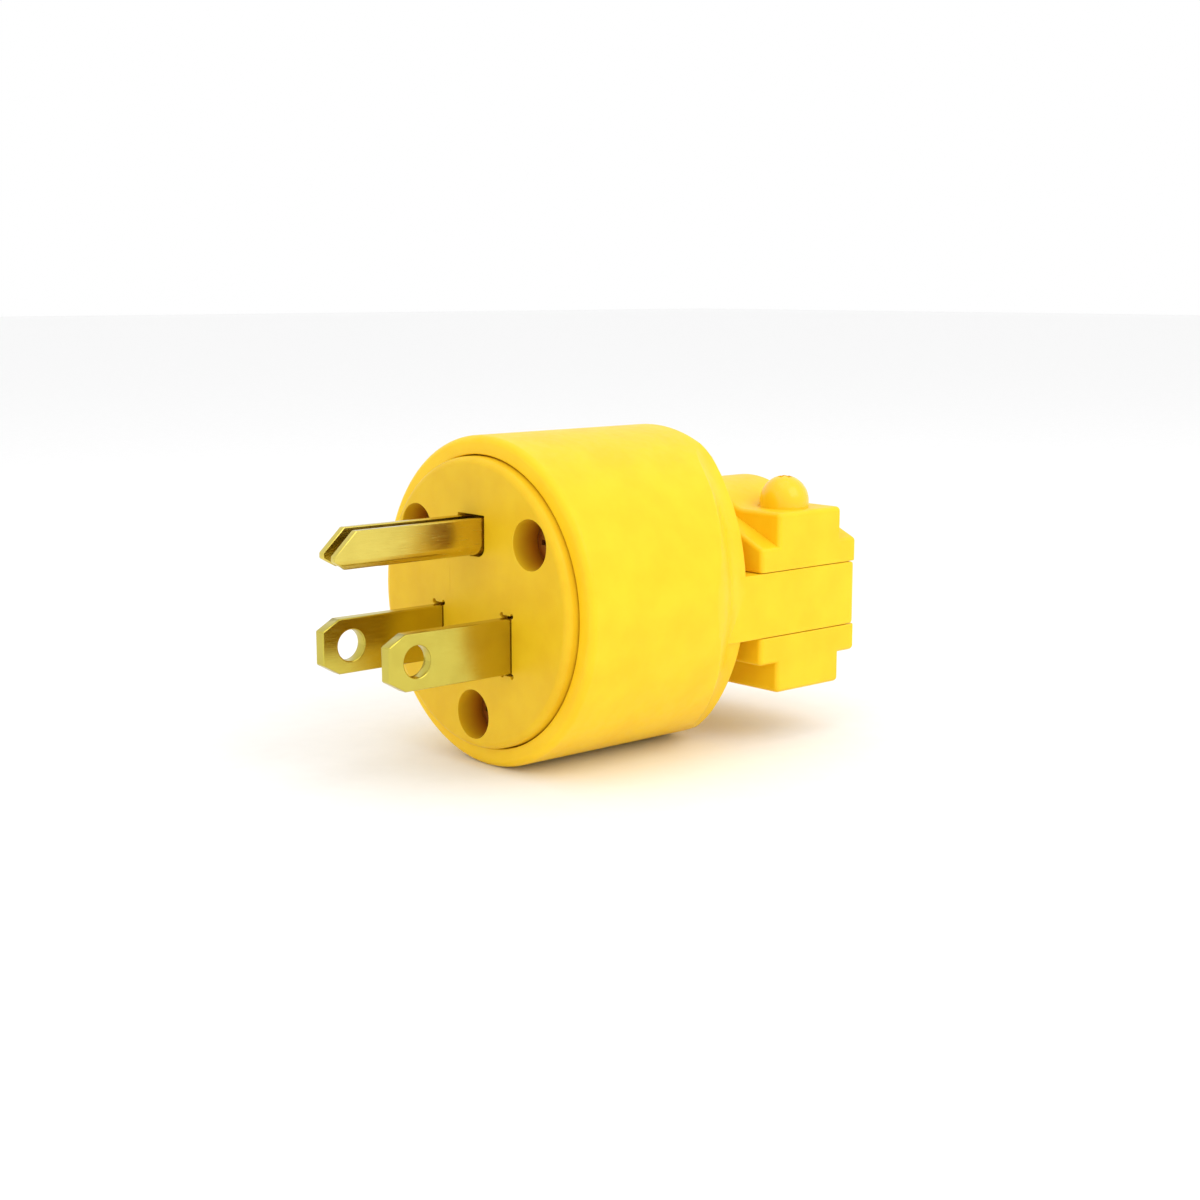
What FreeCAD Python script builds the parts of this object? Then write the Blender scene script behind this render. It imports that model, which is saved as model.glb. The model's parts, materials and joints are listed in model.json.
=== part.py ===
import FreeCAD, Part
import math
import os
import Sketcher

# Rewireable grounding plug with a two-jaw cord clamp.
# Frame: the origin is the centre of the face plate's front plane, the prongs point along -Y, the cord
# leaves along +Y, and the ground pin is uppermost (+Z). The hot blade is on the +X side.

DIMENSIONS = {
    # housing
    "housing_radius": 19.35,
    "rim_front": 1.5,
    "rim_round": 0.9,
    "bore_radius": 17.15,
    "ledge_depth": 5.4,
    "cavity_radius": 16.2,
    "cavity_back": 27.4,
    "cavity_corner": 3.0,
    "shoulder_start": 28.2,
    "shoulder_round": 1.2,
    "wall_back": 29.4,
    "flank_axis": 8.7,
    "flank_start": 20.0,
    "flank_lift": 0.02,
    "root_start": 26.3,
    "root_depth": 0.7,
    "boss_radius": 4.2,
    "boss_front": 7.4,
    "boss_back": 24.0,
    "insert_hole_radius": 2.62,
    "boss_bore_radius": 2.0,
    "boss_bore_back": 20.0,
    # neck and clamp, centred on the cord axis
    "cord_axis_drop": 2.0,
    "cord_radius": 6.2,
    "clamp_half_width": 15.5,
    "cheek_half_height": 3.95,
    "cheek_back": 49.3,
    "jaw_gap": 0.08,
    "plate_front": 32.0,
    "plate_back": 49.2,
    "block_front": 35.0,
    "block_back": 46.3,
    "plate_edge_height": 6.9,
    "plate_arch_radius": 12.6,
    "block_height": 11.1,
    "block_arch_radius": 12.4,
    "block_arch_lift": 1.6,
    "arch_blend_radius": 4.0,
    "lower_plate_height": 7.4,
    "clamp_screw_side": 11.0,
    "clamp_screw_depth": 40.6,
    "screw_seat_radius": 3.2,
    "jaw_hole_radius": 1.82,
    "cheek_hole_radius": 2.0,
    "nut_pocket_ceiling": 6.4,
    "groove_radius": 6.9,
    "groove_width": 1.4,
    "edge_round": 0.6,
    # face plate
    "face_radius": 17.0,
    "face_thickness": 3.4,
    "face_round": 0.9,
    "skirt_inner_radius": 15.0,
    "recess_radius": 2.9,
    "recess_depth": 4.4,
    "recess_boss_radius": 3.85,
    "screw_side": 10.5,
    "screw_height": 7.9,
    "screw_drop": 13.0,
    "face_screw_hole": 2.0,
    "relief_radius": 0.3,
    "relief_depth": 1.0,
    # prongs
    "blade_side": 6.35,
    "blade_drop": 4.0,
    "blade_width": 6.35,
    "blade_thickness": 1.524,
    "blade_length": 16.7,
    "blade_tip_drop": 1.25,
    "blade_tip_run": 2.2,
    "blade_hole_radius": 1.8,
    "blade_hole_distance": 12.9,
    "shoulder_half": 4.6,
    "tail_half": 3.8,
    "tail_back": 17.5,
    "seat_play": 0.05,
    "pin_above_blades": 11.89,
    "pin_width": 4.4,
    "pin_sheet": 0.9,
    "pin_bottom_drop": 2.02,
    "pin_top_rise": 2.3,
    "pin_bend_radius": 1.3,
    "pin_length": 20.0,
    "pin_short_by": 0.8,
    "pin_open_length": 6.3,
    "pin_tip_top_run": 2.8,
    "pin_tip_top_drop": 2.6,
    "pin_tip_low_run": 1.8,
    "pin_tip_low_rise": 1.1,
    "tab_half": 3.6,
    # terminal block
    "block_base_radius": 15.9,
    "block_core_half": 5.4,
    "block_core_bottom": 8.2,
    "block_core_top": 5.77,
    "block_back_end": 18.0,
    "tip_well_radius": 2.4,
    "tip_well_depth": 3.9,
    "barrier_low": 1.0,
    "barrier_high": 2.6,
    "barrier_reach": 13.5,
    # terminals
    "terminal_depth": 13.5,
    "tapped_radius": 2.15,
    "plate_side": 7.6,
    "plate_thickness": 1.2,
    "plate_play": 0.1,
    "lip_thickness": 0.8,
    # fasteners
    "terminal_shank_radius": 2.08,
    "terminal_shank_length": 5.8,
    "terminal_head_radius": 3.6,
    "terminal_head_height": 2.2,
    "small_shank_radius": 1.75,
    "face_shank_length": 10.6,
    "face_head_radius": 2.6,
    "face_head_height": 1.6,
    "clamp_shank_length": 22.0,
    "dome_radius": 3.05,
    "dome_skirt": 0.8,
    "dome_height": 4.0,
    "slot_width": 0.9,
    "slot_depth": 0.9,
    "insert_radius": 2.6,
    "insert_bore": 1.82,
    "insert_length": 7.8,
    "nut_flat_half": 3.175,
    "nut_height": 2.6,
    "nut_play": 0.1,
}

COS_30 = math.cos(math.radians(30))
PAST = 1.0  # how far a cut runs past the face it opens
PLANES = {"XY": "XY_Plane", "XZ": "XZ_Plane", "YZ": "YZ_Plane"}

doc = FreeCAD.newDocument("plug")


class Size:
    """A length together with the spreadsheet expression that gives it."""

    def __init__(self, value, text):
        self.value = value
        self.text = text

    def __add__(self, other):
        other = size(other)
        return Size(self.value + other.value, f"({self.text} + {other.text})")

    def __sub__(self, other):
        other = size(other)
        return Size(self.value - other.value, f"({self.text} - {other.text})")

    def __rsub__(self, other):
        return size(other) - self

    def __radd__(self, other):
        return size(other) + self

    def __mul__(self, other):
        other = size(other)
        return Size(self.value * other.value, f"({self.text} * {other.text})")

    def __truediv__(self, other):
        other = size(other)
        return Size(self.value / other.value, f"({self.text} / {other.text})")

    def __neg__(self):
        return self * -1.0


def size(value):
    """Turns a plain number into a Size, and leaves a Size alone."""
    if isinstance(value, Size):
        return value
    return Size(float(value), f"({float(value)!r})")


def root(square):
    """The square root of a Size."""
    return Size(math.sqrt(square.value), f"sqrt({square.text})")


def fill_sheet():
    """Writes the driving dimensions into the spreadsheet and gives a Size for each."""
    sheet = doc.addObject("Spreadsheet::Sheet", "dims")
    sizes = {}
    for row, (name, value) in enumerate(DIMENSIONS.items(), start=1):
        sheet.set(f"A{row}", name)
        sheet.set(f"B{row}", str(value))
        sheet.setAlias(f"B{row}", name)
        sizes[name] = Size(value, f"dims.{name}")
    doc.recompute()
    return sizes


D = fill_sheet()


def bind(item, **properties):
    """Binds properties of an object to sizes. A double underscore stands for a dot."""
    for name, value in properties.items():
        item.setExpression(name.replace("__", "."), size(value).text)


def put(item, x=0, y=0, z=0, turn=None):
    """Turns an object, then binds its place."""
    if turn is not None:
        item.Placement = FreeCAD.Placement(FreeCAD.Vector(), turn)
    bind(item, Placement__Base__x=x, Placement__Base__y=y, Placement__Base__z=z)
    return item


TO_Y = FreeCAD.Rotation(FreeCAD.Vector(1, 0, 0), -90)
TO_MINUS_Y = FreeCAD.Rotation(FreeCAD.Vector(1, 0, 0), 90)
TO_X = FreeCAD.Rotation(FreeCAD.Vector(0, 1, 0), 90)
TO_MINUS_X = FreeCAD.Rotation(FreeCAD.Vector(0, 1, 0), -90)
TO_Z = FreeCAD.Rotation()


# ---- sketches and features --------------------------------------------------------------------


def new_body(label):
    """A new PartDesign body with its own place."""
    body = doc.addObject("PartDesign::Body", label)
    body.Label = label
    body.Placement = FreeCAD.Placement()
    return body


def new_sketch(body, name, plane, offset=0):
    """A sketch on one of the body's own origin planes, moved along the plane's normal."""
    sketch = body.newObject("Sketcher::SketchObject", name)
    base = next(f for f in body.Origin.OriginFeatures if f.Role == PLANES[plane])
    sketch.AttachmentSupport = [(base, "")]
    sketch.MapMode = "FlatFace"
    bind(sketch, AttachmentOffset__Base__z=offset)
    return sketch


def fix_point(sketch, edge, end, x, y):
    """Holds one end of an edge, or a circle's centre, at two bound coordinates."""
    for kind, axis, value in (("DistanceX", -2, x), ("DistanceY", -1, y)):
        value = size(value)
        if abs(value.value) < 1e-9:
            sketch.addConstraint(Sketcher.Constraint("PointOnObject", edge, end, axis))
            continue
        where = Sketcher.Constraint(kind, -1, 1, edge, end, value.value)
        index = sketch.addConstraint(where)
        sketch.setExpression(f"Constraints[{index}]", value.text)


def fix_radius(sketch, edge, radius):
    """Binds the radius of a circle or an arc."""
    index = sketch.addConstraint(Sketcher.Constraint("Radius", edge, radius.value))
    sketch.setExpression(f"Constraints[{index}]", radius.text)


def draw_circle(sketch, x, y, radius):
    """A circle held at two bound coordinates."""
    x, y, radius = size(x), size(y), size(radius)
    centre = FreeCAD.Vector(x.value, y.value, 0)
    edge = sketch.addGeometry(Part.Circle(centre, FreeCAD.Vector(0, 0, 1), radius.value), False)
    fix_point(sketch, edge, 3, x, y)
    fix_radius(sketch, edge, radius)


def arc_between(start, end, radius, side):
    """The short arc from start to end. Side 1 bends it to the left, with its centre there; -1 right."""
    chord = end - start
    rise = math.sqrt(max(radius ** 2 - (chord.Length / 2) ** 2, 0))
    across = FreeCAD.Vector(-chord.y, chord.x, 0).normalize() * side
    centre = (start + end) * 0.5 + across * rise
    first, last = (start, end) if side > 0 else (end, start)
    angles = [math.atan2(p.y - centre.y, p.x - centre.x) for p in (first, last)]
    return Part.ArcOfCircle(Part.Circle(centre, FreeCAD.Vector(0, 0, 1), radius), *angles)


def draw_outline(sketch, corners, arcs=None):
    """A closed outline. arcs maps a corner's number to (radius, side) for the edge that leaves it."""
    arcs = arcs or {}
    corners = [(size(x), size(y)) for x, y in corners]
    points = [FreeCAD.Vector(x.value, y.value, 0) for x, y in corners]
    ends = []
    for i, start in enumerate(points):
        end = points[(i + 1) % len(points)]
        if i in arcs:
            radius, side = arcs[i]
            radius = size(radius)
            edge = sketch.addGeometry(arc_between(start, end, radius.value, side), False)
            ends.append((edge, 1, 2) if side > 0 else (edge, 2, 1))
        else:
            edge = sketch.addGeometry(Part.LineSegment(start, end), False)
            ends.append((edge, 1, 2))
    for i, (edge, _, last) in enumerate(ends):
        follower, first, _ = ends[(i + 1) % len(ends)]
        sketch.addConstraint(Sketcher.Constraint("Coincident", edge, last, follower, first))
    for i, (edge, first, _) in enumerate(ends):
        fix_point(sketch, edge, first, *corners[i])
        if i in arcs:
            fix_radius(sketch, edge, size(arcs[i][0]))


def box_corners(left, right, low, high):
    """The four corners of a rectangle."""
    return [(left, low), (right, low), (right, high), (left, high)]


def prism(body, kind, name, plane, low, high, corners=None, arcs=None, circles=()):
    """A Pad or Pocket that fills the stretch from low to high along the plane's normal."""
    low, high = size(low), size(high)
    adds = kind == "Pad"
    if plane == "XZ":
        offset = -high if adds else -low
    else:
        offset = low if adds else high
    sketch = new_sketch(body, f"{name}_outline", plane, offset)
    if corners:
        draw_outline(sketch, corners, arcs)
    for circle in circles:
        draw_circle(sketch, *circle)
    doc.recompute()
    before = body.Shape.Volume if body.Shape and not body.Shape.isNull() else 0.0
    feature = body.newObject(f"PartDesign::{kind}", name)
    feature.Profile = sketch
    bind(feature, Length=high - low)
    doc.recompute()
    change = body.Shape.Volume - before
    if (change <= 0) if adds else (change >= 0):
        raise RuntimeError(f"{body.Label}: {name} changed the volume by {change:.3f}")
    return feature


def pad(body, name, plane, low, high, corners=None, arcs=None, circles=()):
    """Adds a prism."""
    return prism(body, "Pad", name, plane, low, high, corners, arcs, circles)


def pocket(body, name, plane, low, high, corners=None, arcs=None, circles=()):
    """Cuts a prism."""
    return prism(body, "Pocket", name, plane, low, high, corners, arcs, circles)


def round_edges(body, name, radius, chosen):
    """Fillets every edge of the body's tip for which chosen is true."""
    doc.recompute()
    tip = body.Tip
    names = [f"Edge{i + 1}" for i, edge in enumerate(tip.Shape.Edges) if chosen(edge)]
    if not names:
        raise RuntimeError(f"{body.Label}: {name} found no edges")
    fillet = body.newObject("PartDesign::Fillet", name)
    fillet.Base = (tip, names)
    bind(fillet, Radius=radius)
    doc.recompute()
    if not fillet.Shape.isValid() or fillet.Shape.Volume == tip.Shape.Volume:
        raise RuntimeError(f"{body.Label}: {name} rounded nothing")
    return fillet


def lies_in(edge, **limits):
    """Whether both ends and the middle of an edge lie inside limits such as y=(low, high)."""
    middle = edge.valueAt((edge.FirstParameter + edge.LastParameter) / 2)
    points = [v.Point for v in edge.Vertexes] + [middle]
    return all(low <= getattr(p, axis) <= high for axis, (low, high) in limits.items() for p in points)


# ---- Part solids ------------------------------------------------------------------------------


def cylinder(name, radius, height, x=0, y=0, z=0, turn=TO_Z):
    """A cylinder whose foot is at a place and whose axis is turned from +Z."""
    item = doc.addObject("Part::Cylinder", name)
    bind(item, Radius=radius, Height=height)
    return put(item, x, y, z, turn)


def block(name, x_low, x_high, y_low, y_high, z_low, z_high):
    """A box between two corners."""
    item = doc.addObject("Part::Box", name)
    x_low, y_low, z_low = size(x_low), size(y_low), size(z_low)
    bind(item, Length=size(x_high) - x_low, Width=size(y_high) - y_low, Height=size(z_high) - z_low)
    return put(item, x_low, y_low, z_low, TO_Z)


def fuse(name, *items):
    """Joins solids into one."""
    joined = doc.addObject("Part::MultiFuse", name)
    joined.Shapes = list(items)
    return joined


def cut(name, base, tool):
    """Takes one solid from another."""
    result = doc.addObject("Part::Cut", name)
    result.Base = base
    result.Tool = tool
    return result


def finish_piece(item, label, x, y, z, turn):
    """Names a finished piece and binds its place."""
    item.Label = label
    return put(item, x, y, z, turn)


# ---- frame values that several pieces share ---------------------------------------------------

cord_z = -D["cord_axis_drop"]
blade_z = -D["blade_drop"]
pin_z = blade_z + D["pin_above_blades"]
pin_low = pin_z - D["pin_bottom_drop"]
pin_high = pin_z + D["pin_top_rise"]
cheek_top = cord_z + D["cheek_half_height"]
cheek_bottom = cord_z - D["cheek_half_height"]
lower_floor = cord_z - D["block_height"]
upper_top = cord_z + D["block_height"]
SCREW_PLACES = {
    "right": (D["screw_side"], D["screw_height"]),
    "left": (-D["screw_side"], D["screw_height"]),
    "bottom": (size(0), -D["screw_drop"]),
}
CLAMP_SIDES = {"near": D["clamp_screw_side"], "far": -D["clamp_screw_side"]}


def screw_circles(radius):
    """One circle on each face screw's axis."""
    return [(x, z, radius) for x, z in SCREW_PLACES.values()]


# ---- housing ----------------------------------------------------------------------------------


def cut_flank(body, name, side):
    """Narrows the housing's rear towards the clamp, on the side +1 or -1 of the cord."""
    radius, half, axis = D["housing_radius"], D["clamp_half_width"], D["flank_axis"]
    start, end = D["flank_start"], D["wall_back"]
    wide, narrow = radius + D["flank_lift"] + axis, half + axis
    run, drop = end - start, wide - narrow
    bend = (run * run + drop * drop) / (drop * 4.0)
    clear = radius + axis + 3 * PAST
    past_end = end + PAST
    corners = [(clear, start), (wide, start), ((wide + narrow) * 0.5, (start + end) * 0.5),
               (narrow, end), (narrow, past_end), (clear, past_end)]
    sketch = new_sketch(body, f"{name}_flank_outline", "XY")
    bind(sketch, AttachmentOffset__Base__x=axis * -side)
    draw_outline(sketch, [(x * side, y) for x, y in corners], {1: (bend, side), 2: (bend, -side)})
    doc.recompute()
    before = body.Tip.Shape.Volume
    flank = body.newObject("PartDesign::Groove", f"{name}_flank")
    flank.Profile = sketch
    flank.ReferenceAxis = (sketch, ["V_Axis"])
    flank.Angle = 360
    doc.recompute()
    if before - body.Tip.Shape.Volume < 1.0:
        raise RuntimeError(f"{name}_flank cut nothing")


def make_housing():
    """The shell: cylinder, flanks that narrow to the clamp, cheeks, screw bosses and cord passage."""
    body = new_body("housing")
    radius, half = D["housing_radius"], D["clamp_half_width"]
    corner = D["cavity_corner"]
    sketch = new_sketch(body, "shell_outline", "XY")
    draw_outline(
        sketch,
        [
            (D["bore_radius"], D["rim_front"]),
            (radius - D["rim_round"], D["rim_front"]),
            (radius, D["rim_front"] + D["rim_round"]),
            (radius, D["shoulder_start"]),
            (radius - D["shoulder_round"], D["wall_back"]),
            (0, D["wall_back"]),
            (0, D["cavity_back"]),
            (D["cavity_radius"] - corner, D["cavity_back"]),
            (D["cavity_radius"], D["cavity_back"] - corner),
            (D["cavity_radius"], D["ledge_depth"]),
            (D["bore_radius"], D["ledge_depth"]),
        ],
        {1: (D["rim_round"], 1), 3: (D["shoulder_round"], 1)},
    )
    doc.recompute()
    shell = body.newObject("PartDesign::Revolution", "shell")
    shell.Profile = sketch
    shell.ReferenceAxis = (sketch, ["V_Axis"])
    shell.Angle = 360
    doc.recompute()
    for name, side in (("near", 1), ("far", -1)):
        cut_flank(body, name, side)
    past_end = D["cheek_back"] + PAST
    pad(body, "cheeks", "XZ", D["wall_back"] - PAST, D["cheek_back"],
        box_corners(-half, half, cheek_bottom, cheek_top))
    inner = half - D["root_depth"]
    for name, low, high in (("near", inner, half), ("far", -half, -inner)):
        pad(body, f"{name}_cheek_root", "XZ", D["root_start"], D["wall_back"],
            box_corners(low, high, cheek_bottom, cheek_top))
    back = D["cheek_back"].value
    round_edges(body, "cheek_rounds", D["edge_round"] * 1.8,
                lambda e: lies_in(e, y=(back - 0.01, back + 0.01)))
    pad(body, "screw_bosses", "XZ", D["boss_front"], D["boss_back"],
        circles=screw_circles(D["boss_radius"]))
    pocket(body, "insert_holes", "XZ", D["boss_front"] - PAST,
           D["boss_front"] + D["insert_length"] + D["nut_play"],
           circles=screw_circles(D["insert_hole_radius"]))
    pocket(body, "screw_bores", "XZ", D["boss_front"], D["boss_bore_back"],
           circles=screw_circles(D["boss_bore_radius"]))
    pocket(body, "cord_passage", "XZ", D["cavity_back"] - 2 * PAST, past_end,
           circles=[(0, cord_z, D["cord_radius"])])
    pocket(body, "clamp_screw_holes", "XY", cheek_bottom - PAST, cheek_top + PAST,
           circles=[(x, D["clamp_screw_depth"], D["cheek_hole_radius"]) for x in CLAMP_SIDES.values()])
    return body


def make_insert(place):
    """A threaded brass insert in one housing boss."""
    x, z = SCREW_PLACES[place]
    sleeve = cylinder(f"insert_{place}_sleeve", D["insert_radius"], D["insert_length"])
    bore = cylinder(f"insert_{place}_bore", D["insert_bore"], D["insert_length"] + 2 * PAST, z=-PAST)
    groove = doc.addObject("Part::Torus", f"insert_{place}_groove")
    bind(groove, Radius1=D["insert_radius"] + 0.2, Radius2=0.5)
    put(groove, z=D["insert_length"] * 0.5)
    tools = fuse(f"insert_{place}_tools", bore, groove)
    insert = cut(f"insert_{place}", sleeve, tools)
    return finish_piece(insert, f"insert_{place}", x, D["boss_front"] + D["nut_play"], z, TO_Y)


# ---- face plate and terminal block ------------------------------------------------------------


def pin_slot(play):
    """The ground pin's opening: a rectangle with rounded lower corners."""
    half = D["pin_width"] * 0.5 + play
    low, high = pin_low - play, pin_high + play
    turn = D["pin_bend_radius"]
    corners = [
        (half - turn, low), (half, low + turn), (half, high),
        (-half, high), (-half, low + turn), (turn - half, low),
    ]
    return corners, {0: (turn, 1), 4: (turn, 1)}


def make_face_plate():
    """The front disc: slots for the prongs, deep wells for the three screws and a seating skirt."""
    body = new_body("face_plate")
    thickness, skirt_back = D["face_thickness"], D["ledge_depth"]
    pad(body, "disc", "XZ", 0, thickness, circles=[(0, 0, D["face_radius"])])
    round_edges(body, "disc_round", D["face_round"], lambda e: lies_in(e, y=(-0.01, 0.01)))
    pad(body, "skirt", "XZ", thickness, skirt_back,
        circles=[(0, 0, D["face_radius"]), (0, 0, D["skirt_inner_radius"])])
    pad(body, "well_bosses", "XZ", thickness - PAST, skirt_back,
        circles=screw_circles(D["recess_boss_radius"]))
    pocket(body, "wells", "XZ", -PAST, D["recess_depth"], circles=screw_circles(D["recess_radius"]))
    pocket(body, "screw_holes", "XZ", D["recess_depth"] - PAST, skirt_back + PAST,
           circles=screw_circles(D["face_screw_hole"]))
    half_width = D["blade_width"] * 0.5 + 0.3
    half_sheet = D["blade_thickness"] * 0.5 + 0.12
    for name, x in (("hot", D["blade_side"]), ("neutral", -D["blade_side"])):
        slot = box_corners(x - half_sheet, x + half_sheet, blade_z - half_width, blade_z + half_width)
        pocket(body, f"{name}_slot", "XZ", -PAST, thickness + PAST, slot)
        pocket(body, f"{name}_slot_reliefs", "XZ", -PAST, D["relief_depth"],
               circles=[(*spot, D["relief_radius"]) for spot in slot])
    pocket(body, "pin_slot", "XZ", -PAST, thickness + PAST, *pin_slot(size(0.25)))
    return body


def make_terminal_block():
    """The inner insulator: base disc, core under the terminals and a barrier on each side."""
    body = new_body("terminal_block")
    front, base_back, back = D["ledge_depth"], D["boss_front"], D["block_back_end"]
    core, top = D["block_core_half"], D["block_core_top"]
    pad(body, "base", "XZ", front, base_back, circles=[(0, 0, D["block_base_radius"])])
    pad(body, "core", "XZ", base_back - PAST, back,
        box_corners(-core, core, -D["block_core_bottom"], top))
    reach = D["barrier_reach"]
    pad(body, "barriers", "XZ", base_back - PAST, back,
        box_corners(-reach, reach, D["barrier_low"], D["barrier_high"]))
    slot_half = D["tail_half"] + 0.1
    for name, sign in (("hot", 1), ("neutral", -1)):
        inner = (D["blade_side"] - D["blade_thickness"] * 0.5 - 0.1) * sign
        outer = (D["blade_side"] + D["blade_thickness"] * 0.5 + 0.1) * sign
        pocket(body, f"{name}_way", "XZ", front - PAST, base_back + PAST,
               box_corners(inner, outer, blade_z - slot_half, blade_z + slot_half))
        depth = D["tip_well_depth"]
        low, high = (core - depth, core + PAST) if sign > 0 else (-core - PAST, depth - core)
        pocket(body, f"{name}_tip_well", "YZ", low, high,
               circles=[(D["terminal_depth"], blade_z, D["tip_well_radius"])])
    tab = D["tab_half"] + 0.15
    pocket(body, "ground_way", "XZ", front - PAST, base_back + PAST,
           box_corners(-tab, tab, pin_low - 0.1, pin_low + D["pin_sheet"] + 0.1))
    pocket(body, "ground_tip_well", "XY", top - D["tip_well_depth"], top + PAST,
           circles=[(0, D["terminal_depth"], D["tip_well_radius"])])
    pocket(body, "screw_ways", "XZ", front - PAST, base_back + PAST,
           circles=screw_circles(D["face_screw_hole"]))
    return body


# ---- prongs -----------------------------------------------------------------------------------


def make_blade(label, centre_x):
    """A flat blade: cropped tip with a hole, a shoulder behind the face, and a tapped tail."""
    body = new_body(label)
    half, tip = D["blade_width"] * 0.5, -D["blade_length"]
    drop, run = D["blade_tip_drop"], D["blade_tip_run"]
    front, back = D["face_thickness"] + D["seat_play"], D["ledge_depth"] - D["seat_play"]
    wide, tail, end = D["shoulder_half"], D["tail_half"], D["tail_back"]
    upper = [
        (tip, blade_z + half - drop), (tip + run, blade_z + half), (front, blade_z + half),
        (front, blade_z + wide), (back, blade_z + wide), (back, blade_z + tail), (end, blade_z + tail),
    ]
    lower = [
        (end, blade_z - tail), (back, blade_z - tail), (back, blade_z - wide),
        (front, blade_z - wide), (front, blade_z - half), (tip + run, blade_z - half),
        (tip, blade_z - half + drop),
    ]
    sheet = D["blade_thickness"] * 0.5
    pad(body, f"{label}_sheet", "YZ", centre_x - sheet, centre_x + sheet, upper + lower)
    for name, y, radius in (
        ("tip_hole", -D["blade_hole_distance"], D["blade_hole_radius"]),
        ("tapped_hole", D["terminal_depth"], D["tapped_radius"]),
    ):
        pocket(body, f"{label}_{name}", "YZ", centre_x - sheet - PAST, centre_x + sheet + PAST,
               circles=[(y, blade_z, radius)])
    return body


def make_ground_pin():
    """The folded U pin, open side up, with a flat tapped tab behind the face."""
    body = new_body("ground_pin")
    half, sheet, turn = D["pin_width"] * 0.5, D["pin_sheet"], D["pin_bend_radius"]
    inner, inner_turn = half - sheet, turn - sheet
    tip, back = -D["pin_length"], D["ledge_depth"] - D["seat_play"]
    floor = pin_low + sheet
    corners = [
        (half - turn, pin_low), (half, pin_low + turn), (half, pin_high), (inner, pin_high),
        (inner, pin_low + turn), (half - turn, floor), (turn - half, floor),
        (-inner, pin_low + turn), (-inner, pin_high), (-half, pin_high), (-half, pin_low + turn),
        (turn - half, pin_low),
    ]
    arcs = {0: (turn, 1), 4: (inner_turn, -1), 6: (inner_turn, -1), 10: (turn, 1)}
    pad(body, "folded_sheet", "XZ", tip, back, corners, arcs)
    front = D["face_thickness"] + D["seat_play"]
    wide, tab = D["shoulder_half"], D["tab_half"]
    pad(body, "stop", "XY", pin_low, floor, box_corners(-wide, wide, front, back))
    pad(body, "tab", "XY", pin_low, floor, box_corners(-tab, tab, back - PAST, D["tail_back"]))
    pocket(body, "open_tip", "XY", pin_low - PAST, floor + PAST,
           box_corners(-inner, inner, tip - PAST, tip + D["pin_open_length"]))
    pocket(body, "short_side", "YZ", -half - PAST, 0,
           box_corners(tip - PAST, tip + D["pin_short_by"], pin_low - PAST, pin_high + PAST))
    for name, low, high, start in (
        ("long", size(0), half + PAST, tip),
        ("short", -half - PAST, size(0), tip + D["pin_short_by"]),
    ):
        top_corner = [
            (start - PAST, pin_high + PAST), (start - PAST, pin_high - D["pin_tip_top_drop"]),
            (start, pin_high - D["pin_tip_top_drop"]), (start + D["pin_tip_top_run"], pin_high),
            (start + D["pin_tip_top_run"], pin_high + PAST),
        ]
        pocket(body, f"{name}_tip_top", "YZ", low, high, top_corner)
        low_corner = [
            (start - PAST, pin_low - PAST), (start + D["pin_tip_low_run"], pin_low - PAST),
            (start + D["pin_tip_low_run"], pin_low), (start, pin_low + D["pin_tip_low_rise"]),
            (start - PAST, pin_low + D["pin_tip_low_rise"]),
        ]
        pocket(body, f"{name}_tip_low", "YZ", low, high, low_corner)
    pocket(body, "tab_hole", "XY", pin_low - PAST, floor + PAST,
           circles=[(0, D["terminal_depth"], D["tapped_radius"])])
    return body


# ---- clamp jaws -------------------------------------------------------------------------------


def cut_saddle(body):
    """The round cord saddle through a jaw, with three grip grooves."""
    pocket(body, f"{body.Label}_saddle", "XZ", D["plate_front"] - PAST, D["plate_back"] + PAST,
           circles=[(0, cord_z, D["cord_radius"])])
    middle = (D["plate_front"] + D["plate_back"]) * 0.5
    for number in (-1, 0, 1):
        start = middle + D["groove_width"] * (3.0 * number - 0.5)
        pocket(body, f"{body.Label}_groove_{number + 2}", "XZ", start, start + D["groove_width"],
               circles=[(0, cord_z, D["groove_radius"])])


def sticks_out(shape, edge):
    """Whether the solid turns outwards at an edge, as on the corner of a box."""
    middle = edge.valueAt((edge.FirstParameter + edge.LastParameter) / 2)
    faces = shape.ancestorsOfType(edge, Part.Face)
    normals = [face.normalAt(*face.Surface.parameter(middle)) for face in faces]
    return not shape.isInside(middle + (normals[0] - normals[1]) * 0.05, 1e-4, True)


def round_jaw(body, parting):
    """Rounds a jaw's outward edges, apart from those on its parting plane."""
    level = parting.value
    shape = body.Tip.Shape
    round_edges(body, "jaw_rounds", D["edge_round"],
                lambda edge: sticks_out(shape, edge) and not lies_in(edge, z=(level - 0.01, level + 0.01)))


def touch_point(x, rise, radius):
    """Where a line from (x, rise) touches a circle about the origin, on the circle's upper left."""
    square = x * x + rise * rise
    along = radius * radius / square
    across = radius * root(square - radius * radius) / square
    return x * along - rise * across, rise * along + x * across


def arched_top(low, flat, arch_centre, arch, blend):
    """A jaw block's section: level sides that blend into an arch about the cord."""
    half = D["clamp_half_width"]
    reach = arch + blend
    rise = flat + blend - arch_centre
    side = root(reach * reach - rise * rise)
    foot_x, foot_z = side * arch / reach, arch_centre + rise * arch / reach
    corners = [(-half, low), (half, low), (half, flat), (side, flat), (foot_x, foot_z),
               (-foot_x, foot_z), (-side, flat), (-half, flat)]
    return corners, {3: (blend, -1), 4: (arch, 1), 5: (blend, -1)}


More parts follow.
